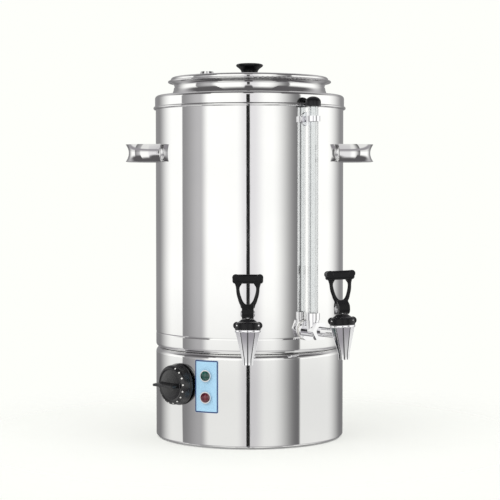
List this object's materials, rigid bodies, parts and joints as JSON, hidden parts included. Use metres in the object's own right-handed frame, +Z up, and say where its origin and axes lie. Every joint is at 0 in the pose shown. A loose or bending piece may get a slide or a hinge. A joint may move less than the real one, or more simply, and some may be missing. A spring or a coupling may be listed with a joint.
{
  "type": "milk boiler",
  "caption": "Electric milk boiler with an inner pot in a heated water jacket, lift-off lid, side handles, lever taps, a sight glass and a thermostat dial.",
  "frame": {"origin": "on the tank's axis, at the surface that the boiler stands on", "axes": "+Z up along the tank's axis, -Y to the front where the centre tap and the controls are, +X to the viewer's right"},
  "size_m": [0.36, 0.392, 0.5567],
  "materials": {
    "polished_steel": "mirror polished",
    "plain_steel": "mill",
    "bright_chrome": "bright plated",
    "black_plastic": "semi gloss",
    "grey_rubber": "matte",
    "pale_silicone": "satin",
    "clear_glass": "clear",
    "blue_plate": "printed",
    "green_lens": "clear tinted",
    "red_lens": "clear tinted",
    "red_button": "satin",
    "yellow_brass": "machined",
    "cream_moulding": "satin",
    "dark_moulding": "satin",
    "copper_tube": "drawn",
    "element_sheath": "annealed",
    "red_insulation": "satin"
  },
  "bodies": {
    "boiler": {"base_skirt": "polished_steel", "base_deck": "polished_steel", "outer_shell": "polished_steel", "top_collar": "polished_steel", "neck_ring": "polished_steel", "milk_pot": "polished_steel", "left_handle": "polished_steel", "right_handle": "polished_steel", "handle_rosettes": "polished_steel", "bottom_plate": "plain_steel", "bottom_screws": "plain_steel", "base_studs": "plain_steel", "tank_bottom": "plain_steel", "front_valve_spring": "plain_steel", "side_valve_spring": "plain_steel", "lamp_bezels": "bright_chrome", "gauge_tee": "bright_chrome", "gauge_nut": "bright_chrome", "gauge_bracket": "bright_chrome", "front_tap_body": "bright_chrome", "front_tap_flange": "bright_chrome", "side_tap_body": "bright_chrome", "side_tap_lock_nut": "bright_chrome", "gauge_cap": "black_plastic", "front_tap_bonnet": "black_plastic", "side_tap_bonnet": "black_plastic", "cable_gland": "black_plastic", "gland_nut": "black_plastic", "foot_ring": "grey_rubber", "element_seals": "pale_silicone", "gauge_seals": "pale_silicone", "front_tap_gasket": "pale_silicone", "side_tap_gasket": "pale_silicone", "gauge_glass": "clear_glass", "control_plate": "blue_plate", "green_lamp_lens": "green_lens", "red_lamp_lens": "red_lens", "thermostat_nut": "yellow_brass", "element_nuts": "yellow_brass", "terminal_block": "cream_moulding", "thermostat_body": "cream_moulding", "thermal_cutout": "dark_moulding", "capillary_sensor": "copper_tube", "heating_element": "element_sheath", "wiring": "red_insulation"},
    "lid": {"lid": "polished_steel", "lid_knob": "black_plastic", "lid_screw": "plain_steel"},
    "front_valve": {"front_valve_stem": "plain_steel", "front_valve_cup": "pale_silicone"},
    "front_lever": {"front_tap_lever": "black_plastic", "front_lever_pin": "bright_chrome"},
    "side_valve": {"side_valve_stem": "plain_steel", "side_valve_cup": "pale_silicone"},
    "side_lever": {"side_tap_lever": "black_plastic", "side_lever_pin": "bright_chrome"},
    "dial": {"thermostat_dial": "black_plastic", "thermostat_shaft": "yellow_brass"},
    "reset": {"reset_button": "red_button"}
  },
  "joints": [
    {"name": "lid_lift", "type": "slide", "parent": "boiler", "child": "lid", "axis": [0, 0, 1], "range_m": [0, 0.15]},
    {"name": "front_stem_lift", "type": "slide", "parent": "boiler", "child": "front_valve", "axis": [0.0009, 0.0872, 0.9962], "range_m": [0, 0.00349], "deforming": ["front_valve_spring"]},
    {"name": "front_lever_tilt", "type": "hinge", "parent": "front_valve", "child": "front_lever", "pos_m": [-0.0023, -0.21995, 0.20037], "axis": [0.9999, -0.0105, 0], "range_deg": [0, 40], "stiffness_Nm_per_rad": 0.15, "springref_deg": -17.19},
    {"name": "side_stem_lift", "type": "slide", "parent": "boiler", "child": "side_valve", "axis": [-0.0506, 0.071, 0.9962], "range_m": [0, 0.00349], "deforming": ["side_valve_spring"]},
    {"name": "side_lever_tilt", "type": "hinge", "parent": "side_valve", "child": "side_lever", "pos_m": [0.12773, -0.17908, 0.20337], "axis": [0.9477, 0.3182, 0.0255], "range_deg": [0, 40], "stiffness_Nm_per_rad": 0.15, "springref_deg": -17.19},
    {"name": "dial_turn", "type": "hinge", "parent": "boiler", "child": "dial", "pos_m": [-0.10071, -0.09725, 0.0885], "axis": [0.7193, 0.6947, 0], "range_deg": [0, 270]},
    {"name": "reset_press", "type": "slide", "parent": "boiler", "child": "reset", "axis": [0, 0, 1], "range_m": [0, 0.0015], "stiffness_N_per_m": 800, "springref_m": -0.002}
  ],
  "couplings": [
    {"joint": "front_lever_tilt", "follows": "front_stem_lift", "rad_per_m": 200},
    {"joint": "side_lever_tilt", "follows": "side_stem_lift", "rad_per_m": 200}
  ]
}
